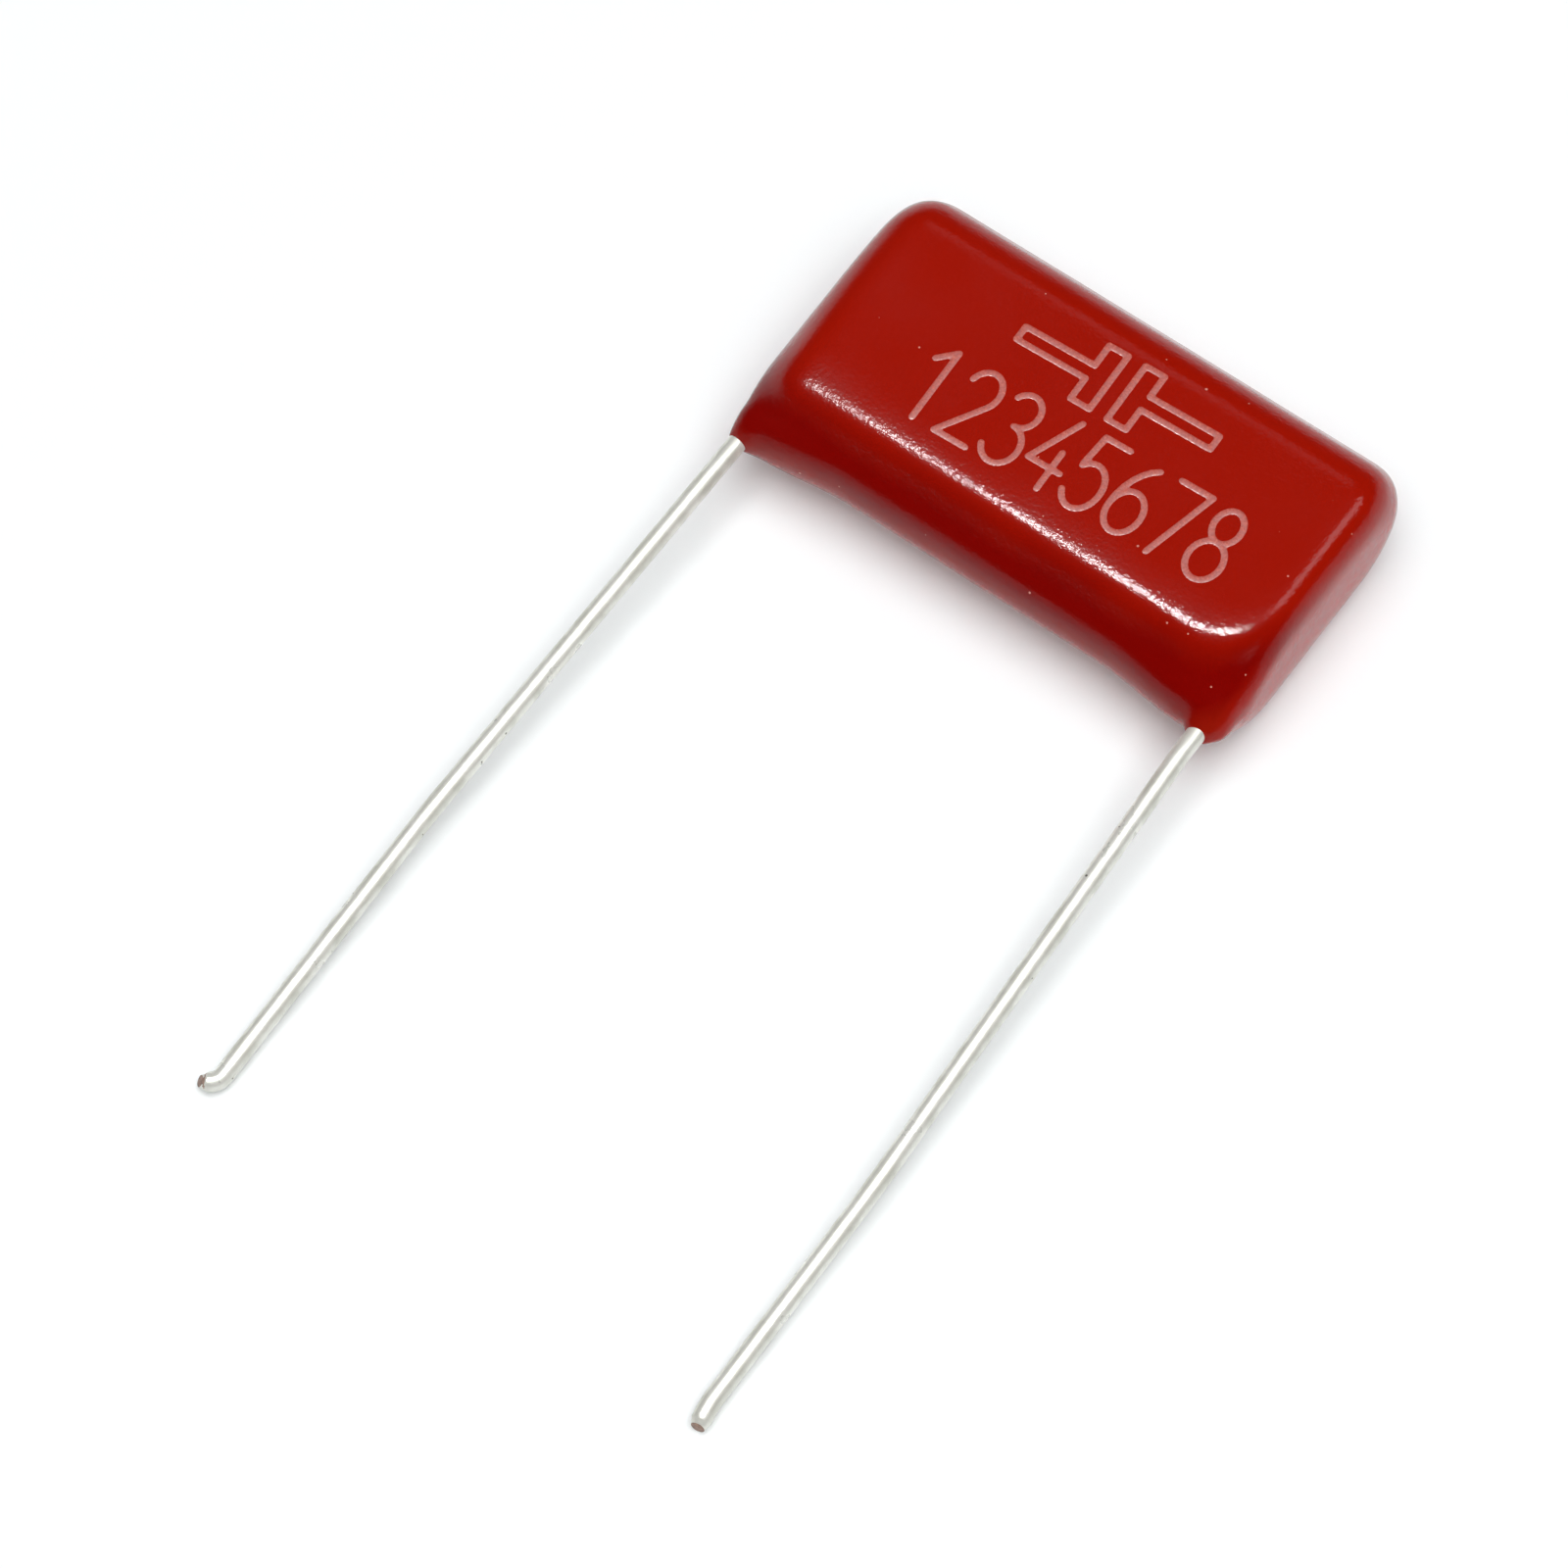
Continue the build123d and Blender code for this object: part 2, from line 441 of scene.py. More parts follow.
def red_epoxy(coat):
    """Epoxy dip coat, dipped hot and cured: it flows to a wet-looking gloss over a dense red body.

    A faint orange peel and dust under the skin break its highlights into sparkles. The thin film at
    the rim on each wire lets more light through, so it shows orange.
    """
    material, tree, shader = new_material(
        "red_dipped_epoxy", IOR=1.5, Specular_IOR_Level=0.16, Coat_Weight=0.03, Coat_Roughness=0.27
    )
    place = add_node(tree, "TexCoord").outputs["Object"]
    uneven = noise(tree, place, 2.4 * MM, 3.0)
    axes = add_node(tree, "SeparateXYZ", {"Vector": place}).outputs

    # Painted light and shade: the red is painted darker down the walls as shade, sooner towards the
    # leads and the right end, and paler below as bounced light
    drift = calc(tree, "MULTIPLY", uneven, 0.9 * MM)
    # Shifts the level by Y, so that the painted shade reaches higher up the front wall
    hung = calc(tree, "MULTIPLY_ADD", axes["Y"], 0.35, drift)
    slope = map_range(tree, axes["X"], 7.2 * MM, 7.9 * MM, -0.55 * MM)
    level = calc(tree, "ADD", calc(tree, "ADD", axes["Z"], hung), slope)
    # Share of the painted light and shade: 0 low on the walls, 1 on the top face
    depth = map_range(tree, level, 0.4 * MM, 3.75 * MM)
    painted_light_and_shade_reds = [(0.15, coat.painted_light_low_red), (0.39, coat.painted_shade_red), (0.64, coat.painted_shade_red), (1.0, coat.red)]
    # Painted light: a paler red on the lower part of the right end, where fill light falls
    outer = map_range(tree, axes["X"], 7.8 * MM, 8.25 * MM)
    lower = map_range(tree, axes["Z"], 3.8 * MM, 2.9 * MM)
    end = calc(tree, "MULTIPLY", outer, lower)
    body = mix_colour(tree, end, ramp(tree, depth, painted_light_and_shade_reds), coat.painted_light_end_red)

    # Dust under the skin, and the ragged rim of the thin film on each wire
    dust = specks(tree, place, 0.62 * MM, 0.25, 0.07)
    specked = mix_colour(tree, dust, body, coat.dust)
    ragged = noise(tree, place, 0.25 * MM, 3.0)
    edge = calc(tree, "MULTIPLY_ADD", ragged, 0.3 * MM, axes["Y"])
    thin = map_range(tree, edge, SEAT_LINE - 0.04 * MM, SEAT_LINE - 0.12 * MM)
    tree.links.new(mix_colour(tree, thin, specked, coat.film_orange), shader.inputs["Base Color"])

    # The coat drained to the right, where it set glossier
    drained = calc(tree, "MULTIPLY_ADD", axes["X"], 1 / (40 * MM), uneven)
    gloss = ramp(tree, drained, greys([(0.2, 0.2), (0.5, 0.13), (0.8, 0.09)]))
    tree.links.new(gloss, shader.inputs["Roughness"])
    peel = bump(tree, noise(tree, place, 0.7 * MM, 1.0), 0.004 * MM)
    grains = bump(tree, noise(tree, place, 0.11 * MM, 3.0), 0.011 * MM, peel)
    tree.links.new(grains, shader.inputs["Normal"])
    return material


def tinned_copper(lead):
    """Tin dipped over copper-clad wire, then drawn: a pale, half-bright metal.

    Fine lines run along the wire, and greyer patches show where fingers and tools dulled the tin.
    """
    material, tree, shader = new_material("tinned_copper_clad_wire", Metallic=0.35)
    place = add_node(tree, "TexCoord").outputs["Object"]
    across, along = 1 / (0.05 * MM), 1 / (1.6 * MM)
    stretched = add_node(tree, "Mapping", {"Vector": place, "Scale": (across, along, across)})
    lines = noise(tree, stretched.outputs["Vector"], 1.0, 2.0)
    patches = noise(tree, place, 0.9 * MM, 4.0)
    tone = ramp(tree, patches, [(0.36, lead.tin_worn), (0.56, lead.tin)])
    pits = specks(tree, place, 0.5 * MM, 0.5, 0.09)
    tree.links.new(mix_colour(tree, pits, tone, lead.pit), shader.inputs["Base Color"])
    dull = ramp(tree, patches, greys([(0.35, 0.4), (0.65, 0.27)]))
    tree.links.new(dull, shader.inputs["Roughness"])
    drawn = bump(tree, lines, 0.002 * MM)
    grained = bump(tree, noise(tree, place, 0.12 * MM, 3.0), 0.004 * MM, drawn)
    tree.links.new(grained, shader.inputs["Normal"])
    return material


def cut_copper(lead):
    """Copper laid bare by a side cutter: torn, dull and a little browned at the edge."""
    material, tree, shader = new_material("cut_copper_cladding", Metallic=0.3, Roughness=0.5)
    place = add_node(tree, "TexCoord").outputs["Object"]
    tears = noise(tree, place, 0.08 * MM, 3.0)
    tone = ramp(tree, tears, [(0.35, lead.browned), (0.65, lead.copper)])
    tree.links.new(tone, shader.inputs["Base Color"])
    tree.links.new(bump(tree, tears, 0.01 * MM), shader.inputs["Normal"])
    return material


def etched_epoxy(marking):
    """Epoxy burnt by a marking beam: chalky, pale and matt, with glassy specks that catch light."""
    material, tree, shader = new_material("etched_pale_epoxy")
    place = add_node(tree, "TexCoord").outputs["Object"]
    burnt = noise(tree, place, 0.09 * MM, 4.0)
    tones = [(0.36, marking.scorched), (0.52, marking.pink), (0.74, marking.chalk)]
    tree.links.new(ramp(tree, burnt, tones), shader.inputs["Base Color"])
    dull = ramp(tree, burnt, greys([(0.4, 0.6), (0.62, 0.3)]))
    tree.links.new(dull, shader.inputs["Roughness"])
    tree.links.new(bump(tree, burnt, 0.006 * MM), shader.inputs["Normal"])
    return material


def wound_film(inner):
    """Metallised polyester film wound flat: silvery, with the fine edges of its turns."""
    material, tree, shader = new_material(
        "wound_metallised_polyester", Metallic=0.7, Roughness=0.25
    )
    place = add_node(tree, "TexCoord").outputs["Object"]
    turns = noise(tree, place, 0.3 * MM, 2.0)
    tone = ramp(tree, turns, [(0.4, inner.film_edge), (0.6, inner.film)])
    tree.links.new(tone, shader.inputs["Base Color"])
    return material


def sprayed_zinc(inner):
    """Zinc sprayed on molten: matt grey, with the grain of its frozen droplets and painted shade in
    the gaps between them.
    """
    material, tree, shader = new_material("sprayed_zinc", Metallic=0.8, Roughness=0.65)
    place = add_node(tree, "TexCoord").outputs["Object"]
    drops = add_node(tree, "TexVoronoi", {"Vector": place, "Scale": 1 / (0.12 * MM)})
    # Painted shade, darker towards the gaps between the droplets
    tone = ramp(tree, drops.outputs["Distance"], [(0.1, inner.zinc), (0.8, inner.painted_zinc_gap_shade)])
    tree.links.new(tone, shader.inputs["Base Color"])
    tree.links.new(bump(tree, drops.outputs["Distance"], 0.03 * MM), shader.inputs["Normal"])
    return material


def begin():
    """Leaves edit mode and deselects all, so that no operator acts on the frame."""
    if bpy.context.object and bpy.context.object.mode != "OBJECT":
        bpy.ops.object.mode_set(mode="OBJECT")
    bpy.ops.object.select_all(action="DESELECT")


def select_where(kind, test):
    """Selects, in edit mode, the elements of one kind (VERT, EDGE or FACE) that pass the test."""
    bpy.ops.mesh.select_mode(type=kind)
    bpy.ops.mesh.select_all(action="DESELECT")
    data = bpy.context.object.data
    mesh = bmesh.from_edit_mesh(data)
    for element in {"VERT": mesh.verts, "EDGE": mesh.edges, "FACE": mesh.faces}[kind]:
        if test(element):
            element.select_set(True)
    mesh.select_flush_mode()
    bmesh.update_edit_mesh(data)


def extrude(move):
    """Extrudes what is selected along a vector."""
    bpy.ops.mesh.extrude_region_move(TRANSFORM_OT_translate={"value": move})


def modify(piece, kind, **settings):
    """Adds a modifier with its settings and applies it."""
    modifier = piece.modifiers.new(kind.lower(), kind)
    for name, value in settings.items():
        setattr(modifier, name, value)
    bpy.ops.object.modifier_apply(modifier=modifier.name)


def clouds(name, size):
    """A soft noise for Displace, with features of the given size."""
    texture = bpy.data.textures.new(name, "CLOUDS")
    texture.noise_scale = size
    texture.noise_depth = 1
    return texture


def finish_piece(piece, name, slot, *materials):
    """Names a finished piece, applies its place, and gives it its materials and body. The slot is
    not used.
    """
    piece.name = piece.data.name = name
    bpy.ops.object.transform_apply(location=True, rotation=True, scale=True)
    for material in materials:
        piece.data.materials.append(material)
    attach(piece, "root")
    return piece


def model_block(coat):
    """Models the body's section: a cube whose long walls are drawn out to a rounded nose."""
    corners = {}
    for side, lean in ((-1, coat.front_lean), (1, coat.back_lean)):
        nose = BODY_SIZE.y / 2 + coat.nose_radius * (1 / math.cos(lean) - 1)
        corners[side] = (nose, nose - BODY_SIZE.z / 2 * math.tan(lean))
    (front_nose, front_face), (back_nose, back_face) = corners[-1], corners[1]
    middle = BODY_MIDDLE + Vector((0, (back_face - front_face) / 2, 0))
    bpy.ops.mesh.primitive_cube_add(
        size=1, location=middle, scale=(BODY_SIZE.x, front_face + back_face, BODY_SIZE.z)
    )
    bpy.ops.object.transform_apply(location=True, rotation=True, scale=True)
    bpy.ops.object.mode_set(mode="EDIT")
    for side, (nose, face) in corners.items():
        select_where("FACE", lambda wall: wall.normal.y * side > SQUARELY)
        extrude((0, side * (nose - face), 0))
        bpy.ops.transform.resize(value=(1, 1, 0), center_override=BODY_MIDDLE)
    bpy.ops.mesh.select_all(action="SELECT")
    bpy.ops.mesh.remove_doubles(threshold=0.001 * MM)
    front_half, back_half = ((math.pi / 2 - lean) / 2 for lean in (coat.front_lean, coat.back_lean))
    rounds = [
        (-front_nose, 0, coat.nose_radius * math.tan(coat.front_lean)),
        (back_nose, 0, coat.nose_radius * math.tan(coat.back_lean)),
        (-front_face, 1, coat.front_radius * math.tan(front_half)),
        (-front_face, -1, coat.edge_radius * math.tan(front_half)),
        (back_face, 1, coat.edge_radius * math.tan(back_half)),
        (back_face, -1, coat.edge_radius * math.tan(back_half)),
    ]
    for place, level, cut_back in rounds:
        line = Vector((place, level * BODY_SIZE.z / 2))
        select_where("EDGE", lambda edge: lies_along(edge, line))
        bpy.ops.mesh.bevel(
            offset=cut_back,
            offset_type="OFFSET",
            segments=ROUND_SEGMENTS,
            profile=0.5,
            affect="EDGES",
        )


def lies_along(edge, line):
    """Whether an edge of the block runs its whole length at the given Y and Z from the middle."""
    ends = [vertex.co - BODY_MIDDLE for vertex in edge.verts]
    near = all((Vector((end.y, end.z)) - line).length < 0.01 * MM for end in ends)
    return near and abs(ends[0].x - ends[1].x) > BODY_SIZE.x / 2


def dome_end(side, depth, level_power, coat):
    """Draws one end face of the block out into a dome, ring by ring, up to a small flat face."""
    select_where("FACE", lambda face: face.normal.x * side > SQUARELY)
    bpy.ops.transform.translate(value=(-side * depth, 0, 0))
    rounds = (
        (BODY_SIZE.y / 2, coat.corner_reach, coat.corner_power),
        (BODY_SIZE.z / 2, coat.end_reach, level_power),
    )
    out_before, halves_before = 0.0, [half for half, reach, power in rounds]
    for ring in range(1, DOME_RINGS + 1):
        out = math.sin(math.pi / 2 * ring / (DOME_RINGS + 0.2))
        halves = [
            half - reach * (1 - (1 - out**power) ** (1 / power)) for half, reach, power in rounds
        ]
        extrude((side * depth * (out - out_before), 0, 0))
        shrink = [half / before for half, before in zip(halves, halves_before)]
        bpy.ops.transform.resize(value=(1, *shrink), center_override=BODY_MIDDLE)
        out_before, halves_before = out, halves


def clamp(share):
    """Keeps a share between 0 and 1."""
    return min(1.0, max(0.0, share))


def rise(place, band):
    """Runs with soft ends from 0 to 1 as the place runs from a band's start to its end."""
    start, end = band
    share = clamp((place - start) / (end - start))
    return share * share * (3 - 2 * share)


def hang_coat(mesh, coat):
    """Grabs the melted skin where the wet coat ran: the front shoulder, corners and front wall."""
    for vertex in mesh.vertices:
        place = vertex.co
        x, y, z = (along / MM for along in place)

        # The top face falls in a slow round, then goes on straight down to the front shoulder
        top = rise(z, CROWN_Z)
        run = max(0.0, CROWN_START_Y * MM - place.y)
        fall = min(coat.crown_width, run)
        place.z -= top * (run - fall / 2) * fall / coat.crown_radius

        # The shoulder turns in at the right corner, and the front wall draws in between the skirts
        low, high = SHOULDER_Z
        shoulder = clamp((z - low) / (high - low)) * rise(y, SHOULDER_Y)
        turn = clamp(TURN_RATE * max(0.0, x - TURN_START_X) ** 2) * shoulder
        between = rise(x, LEFT_SKIRT_X) * rise(x, RIGHT_SKIRT_X)
        wall = rise(z, FRONT_WALL_Z) * rise(y, FRONT_WALL_Y)
        place.y += coat.seat_tuck * between * wall + coat.corner_round * turn * MM

        place.x += coat.corner_tuck * rise(x, LEFT_CORNER_X) * rise(y, LEFT_CORNER_Y) * top


def add_skirt(side, wall, sections):
    """Adds a trumpet of coat round one wire, from its root in the body to the film on the wire."""
    centres = []
    for depth, radius, gap in sections:
        middle = min(LEAD_OFFSET, abs(wall) - gap - radius)
        centres.append((Vector((side * middle, SEAT_LINE + depth, BODY_MIDDLE.z)), radius))
    (here, radius), rest = centres[0], centres[1:]
    bpy.ops.mesh.primitive_circle_add(
        vertices=SKIRT_SIDES,
        radius=radius,
        fill_type="NGON",
        location=here,
        rotation=(math.pi / 2, 0, 0),
    )
    for there, next_radius in rest:
        extrude(there - here)
        bpy.ops.transform.resize(value=(next_radius / radius,) * 3, center_override=there)
        here, radius = there, next_radius


class CAPACITOR_OT_coat(Operator):
    """Models the epoxy coat: a rounded block and two skirts, melted into one skin"""

    bl_idname = "capacitor.coat"
    bl_label = "Epoxy coat"

    def execute(self, context):
        coat = context.scene.capacitor_coat
        begin()
        model_block(coat)
        piece = context.object
        dome_end(-1, coat.left_depth, coat.left_power, coat)
        dome_end(1, coat.right_depth, coat.right_power, coat)
        films = ((-1, BODY_LOW.x, LEFT_FILM_REACH), (1, BODY_HIGH.x, RIGHT_FILM_REACH))
        for side, wall, reach in films:
            bpy.ops.mesh.select_all(action="DESELECT")
            add_skirt(side, wall, SKIRT_SECTIONS + [(-reach, FILM_RADIUS, 0)])
        bpy.ops.mesh.select_all(action="SELECT")
        bpy.ops.mesh.normals_make_consistent(inside=False)
        bpy.ops.object.mode_set(mode="OBJECT")
        modify(piece, "REMESH", mode="VOXEL", voxel_size=coat.voxel)
        modify(piece, "SMOOTH", factor=0.5, iterations=coat.melt_steps)
        hang_coat(piece.data, coat)
        sag = clouds("coat_sag", coat.sag_size)
        modify(piece, "DISPLACE", texture=sag, strength=coat.sag_height, mid_level=0.5)
        bpy.ops.object.shade_smooth()
        finish_piece(piece, "epoxy_coat", "red_epoxy", red_epoxy(coat))
        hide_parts("epoxy_coating")
        return {"FINISHED"}


def lead_points(lead, side, stations):
    """The route of one wire: its weld, exit bend and stations, falling evenly to its tip."""
    middle, radius = BODY_MIDDLE.z, lead.diameter / 2
    tip_reach, tip_height = stations[-1][0], radius + lead.tip_gap
    points = [Vector((side * lead.pitch / 2, SEAT_LINE + lead.weld_length, middle))]
    for reach, splay in [(lead.exit_reach, 0.0)] + stations:
        share = (reach - lead.exit_reach) / (tip_reach - lead.exit_reach)
        height = middle + (tip_height - middle) * share
        points.append(Vector((side * (lead.pitch / 2 + splay), SEAT_LINE - reach, height)))
    return points


def draw_wire(lead, points, wire):
    """Draws a wire as by hand: a disc at the weld, extruded along runs and spun round bends."""
    radii = [lead.exit_radius, lead.slow_radius, wire["last_radius"]]
    here = points[0]
    bpy.ops.mesh.primitive_circle_add(
        vertices=WIRE_SIDES,
        radius=lead.diameter / 2,
        fill_type="NGON",
        location=here,
        rotation=(math.pi / 2, 0, 0),
    )
    piece = bpy.context.object
    bpy.ops.object.transform_apply(location=True, rotation=True, scale=True)
    bpy.ops.object.mode_set(mode="EDIT")
    bpy.ops.mesh.select_all(action="SELECT")
    for corner, after, radius in zip(points[1:], points[2:], radii):
        inward, outward = (corner - here).normalized(), (after - corner).normalized()
        turn = inward.angle(outward)
        cut_back = radius * math.tan(turn / 2)
        here = extrude_run(here, (corner - here) - inward * cut_back, lead.step)
        axis = inward.cross(outward).normalized()
        centre = here + axis.cross(inward) * radius
        steps = max(2, round(radius * turn / lead.step))
        bpy.ops.mesh.spin(steps=steps, angle=-turn, center=centre, axis=axis)
        here = corner + outward * cut_back
    onward = (points[-1] - here).normalized()
    here = extrude_run(here, (points[-1] - here) - onward * CUT_LENGTH, lead.step)
    cut_tip(here, onward, wire)
    return piece


def extrude_run(here, run, step):
    """Extrudes a straight run of wire, ring by ring, and gives the place it reached."""
    steps = max(1, round(run.length / step))
    for _ in range(steps):
        extrude(run / steps)
    return here + run


def cut_tip(here, onward, wire):
    """Draws the last bit of a wire, ring by ring, squeezed and slanted by the cutter."""
    ring_length = onward * CUT_LENGTH / CUT_RINGS
    squeeze = wire["pinch"] ** (1 / CUT_RINGS)
    turn, axis = wire["slant"] / CUT_RINGS, wire["slant_axis"]
    for _ in range(CUT_RINGS):
        here = here + ring_length
        extrude(ring_length)
        bpy.ops.transform.resize(value=(squeeze,) * 3, center_override=here)
        bpy.ops.transform.rotate(value=turn, orient_axis=axis, center_override=here)


class CAPACITOR_OT_leads(Operator):
    """Models the two tinned wire leads, with their bends and cut tips"""

    bl_idname = "capacitor.leads"
    bl_label = "Wire leads"

    def execute(self, context):
        lead = context.scene.capacitor_lead
        tin, copper = tinned_copper(lead), cut_copper(lead)
        for node, wire in WIRES.items():
            begin()
            points = lead_points(lead, wire["side"], wire["stations"])
            piece = draw_wire(lead, points, wire)
            bpy.ops.mesh.select_all(action="SELECT")
            bpy.ops.mesh.normals_make_consistent(inside=False)
            bpy.ops.object.mode_set(mode="OBJECT")
            dents = clouds(node + "_dents", DENT_SIZE)
            modify(piece, "DISPLACE", texture=dents, strength=DENT_HEIGHT, mid_level=0.5)
            bpy.ops.object.shade_smooth()
            finish_piece(piece, "tinned_" + node, "tinned_wire", tin, copper)
            onward = (points[-1] - points[-2]).normalized()
            for face in piece.data.polygons:
                at_tip = (face.center - points[-1]).length < lead.diameter / 2
                if at_tip and face.normal.dot(onward) > CUT_FACING:
                    face.material_index = 1
            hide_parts(node)
        return {"FINISHED"}


def arc(x, y, across, up, start, end):
    """Points along part of an ellipse, about its middle, from one angle to another in degrees."""
    steps = max(2, round(abs(end - start) / ARC_STEP))
    turns = [math.radians(start + (end - start) * step / steps) for step in range(steps + 1)]
    return [(x + across * math.cos(turn), y + up * math.sin(turn)) for turn in turns]


# Strokes of the plotter digits, in shares of their height, from the lower left corner
DIGIT_WIDTH = 0.42
DIGIT_STROKES = {
    "0": [arc(0.21, 0.5, 0.21, 0.5, 90, 450)],
    "1": [[(0.05, 0.8), (0.25, 1.0)], [(0.25, 1.0), (0.25, 0.0)]],
    "2": [arc(0.21, 0.74, 0.2, 0.26, 165, -42) + [(0.0, 0.0)], [(0.0, 0.0), (0.43, 0.0)]],
    "3": [arc(0.2, 0.77, 0.19, 0.23, 150, -90), arc(0.2, 0.27, 0.22, 0.27, 90, -155)],
    "4": [[(0.3, 1.0), (0.0, 0.3)], [(0.0, 0.3), (0.43, 0.3)], [(0.31, 0.55), (0.31, 0.0)]],
    "5": [
        [(0.4, 1.0), (0.07, 1.0)],
        [(0.07, 1.0), (0.03, 0.57)],
        arc(0.19, 0.32, 0.22, 0.32, 135, -150),
    ],
    "6": [arc(0.45, 0.31, 0.45, 0.7, 112, 180), arc(0.21, 0.29, 0.21, 0.29, 0, 360)],
    "7": [[(0.0, 1.0), (0.42, 1.0)], [(0.42, 1.0), (0.14, 0.0)]],
    "8": [arc(0.21, 0.77, 0.17, 0.23, -90, 270), arc(0.21, 0.27, 0.21, 0.27, 90, 450)],
    "9": [arc(0.21, 0.71, 0.21, 0.29, 0, 360), arc(-0.03, 0.69, 0.45, 0.7, 0, -68)],
}

# The plain drawing sign of a capacitor: the outline of one plate with its wire, in the same shares
PLATE_OUTLINE = [
    (1.33, 0.1),
    (0.38, 0.1),
    (0.38, 0.42),
    (0.12, 0.42),
    (0.12, -0.42),
    (0.38, -0.42),
    (0.38, -0.1),
    (1.33, -0.1),
    (1.33, 0.1),
]


def add_stroke(curve, points, width):
    """Adds a stroke to a curve: a closed one as a ring, another with its ends rounded off."""
    if (points[0] - points[-1]).length < width / 10:
        spline = curve.splines.new("POLY")
        spline.points.add(len(points) - 2)
        spline.use_cyclic_u = True
        for point, place in zip(spline.points, points):
            point.co = (*place, 0, 1)
        return
    heads = []
    for tip, behind in ((points[0], points[1]), (points[-1], points[-2])):
        onward = (tip - behind).normalized() * width / 2
        heads.append(
            [(tip + onward * share, math.sqrt(1 - share**2)) for share in (0.5, 0.85, 0.98)]
        )
    route = heads[0][::-1] + [(point, 1.0) for point in points] + heads[1]
    spline = curve.splines.new("POLY")
    spline.points.add(len(route) - 1)
    for point, (place, radius) in zip(spline.points, route):
        point.co = (*place, 0, 1)
        point.radius = radius


def add_marks(name, strokes, marking, place, turn):
    """Models strokes, given as lists of points in shares of the digit height, as flat beads."""
    begin()
    curve = bpy.data.curves.new(name, "CURVE")
    curve.dimensions = "3D"
    curve.bevel_depth = marking.stroke / 2
    curve.bevel_resolution = 3
    curve.use_fill_caps = True
    for stroke in strokes:
        add_stroke(curve, [Vector(point) * marking.height for point in stroke], marking.stroke)
    piece = bpy.data.objects.new(name, curve)
    bpy.context.collection.objects.link(piece)
    bpy.context.view_layer.objects.active = piece
    piece.select_set(True)
    bpy.ops.object.convert(target="MESH")
    piece = bpy.context.object
    modify(piece, "REMESH", mode="VOXEL", voxel_size=marking.skin)
    modify(piece, "SMOOTH", factor=0.5, iterations=2)
    piece.scale.z = marking.relief / (marking.stroke / 2)
    piece.rotation_euler.z = turn
    piece.location = (*place, 0)
    bpy.ops.object.transform_apply(location=True, rotation=True, scale=True)
    coat_skin = BVHTree.FromObject(
        bpy.data.objects["epoxy_coat"], bpy.context.evaluated_depsgraph_get()
    )
    for vertex in piece.data.vertices:
        above = Vector((vertex.co.x, vertex.co.y, 2 * BODY_HIGH.z))
        vertex.co.z += coat_skin.ray_cast(above, Vector((0, 0, -1)))[0].z
    bpy.ops.object.shade_smooth()
    return piece


class CAPACITOR_OT_marking(Operator):
    """Etches the row of plain digits and the sign of two plates into the top face"""

    bl_idname = "capacitor.marking"
    bl_label = "Etched marking"

    def execute(self, context):
        marking = context.scene.capacitor_marking
        material = etched_epoxy(marking)
        advance = marking.advance / marking.height
        start = -(len(marking.digits) - 1) / 2 * advance - DIGIT_WIDTH / 2
        row = []
        for place, digit in enumerate(marking.digits):
            shift = Vector((start + place * advance, -0.5))
            row += [[Vector(point) + shift for point in stroke] for stroke in DIGIT_STROKES[digit]]
        plates = [[Vector((side * x, y)) for x, y in PLATE_OUTLINE] for side in (-1, 1)]
        sign = [list(pair) for plate in plates for pair in zip(plate, plate[1:])]
        marks = {
            "etched_digits": (row, (marking.row_x, marking.row_y), marking.row_turn),
            "etched_plate_sign": (sign, (marking.sign_x, marking.sign_y), marking.row_turn),
        }
        for name, (strokes, place, turn) in marks.items():
            piece = add_marks(name, strokes, marking, place, turn)
            finish_piece(piece, name, "red_epoxy", material)
        return {"FINISHED"}


class CAPACITOR_OT_inner_pieces(Operator):
    """Gives the sealed winding and its sprayed ends their materials"""

    bl_idname = "capacitor.inner_pieces"
    bl_label = "Winding and sprayed ends"

    def execute(self, context):
        inner = context.scene.capacitor_inner
        film, zinc = wound_film(inner), sprayed_zinc(inner)
        finishes = {"film_winding": film, "end_spray_left": zinc, "end_spray_right": zinc}
        for node, material in finishes.items():
            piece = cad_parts[node]
            piece.data.materials.clear()
            piece.data.materials.append(material)
        return {"FINISHED"}


def white_floor(stage):
    """Matt white laminate. Its shadows come from the light, and it adds a faint glow of its own."""
    material, tree, shader = new_material("matt_white_floor", Roughness=0.9, Specular_IOR_Level=0.0)
    shader.inputs["Base Color"].default_value = (*stage.floor, 1)
    camera_ray, gloss_ray = ray_kinds(tree)
    mirrored = calc(tree, "MULTIPLY", gloss_ray, stage.mirrored_glow)
    glow = calc(tree, "MULTIPLY_ADD", camera_ray, stage.floor_glow, mirrored)
    light = add_node(tree, "Emission", {"Strength": glow})
    both = add_node(tree, "AddShader", {0: shader.outputs["BSDF"], 1: light.outputs["Emission"]})
    tree.links.new(both.outputs["Shader"], tree.nodes["Material Output"].inputs["Surface"])
    return material


def studio_world():
    """A light tent: its cloth lights the part, gloss mirrors its dim inside, cameras see white."""
    world = bpy.data.worlds.new("studio")
    bpy.context.scene.world = world
    world.use_nodes = True
    tree = world.node_tree
    place = add_node(tree, "TexCoord").outputs["Generated"]
    height = add_node(tree, "SeparateXYZ", {"Vector": place}).outputs["Z"]
    tent = ramp(tree, height, greys(TENT_CLOTH))
    mirrored = ramp(tree, height, greys(TENT_MIRRORED))
    camera_ray, gloss_ray = ray_kinds(tree)
    inside = mix_colour(tree, gloss_ray, tent, mirrored)
    seen = mix_colour(tree, camera_ray, inside, WHITE)
    tree.links.new(seen, tree.nodes["Background"].inputs["Color"])


def towards(azimuth, elevation):
    """Direction from the part: azimuth runs round it from the leads' side, elevation goes up."""
    level = math.cos(elevation)
    return Vector((math.sin(azimuth) * level, -math.cos(azimuth) * level, math.sin(elevation)))


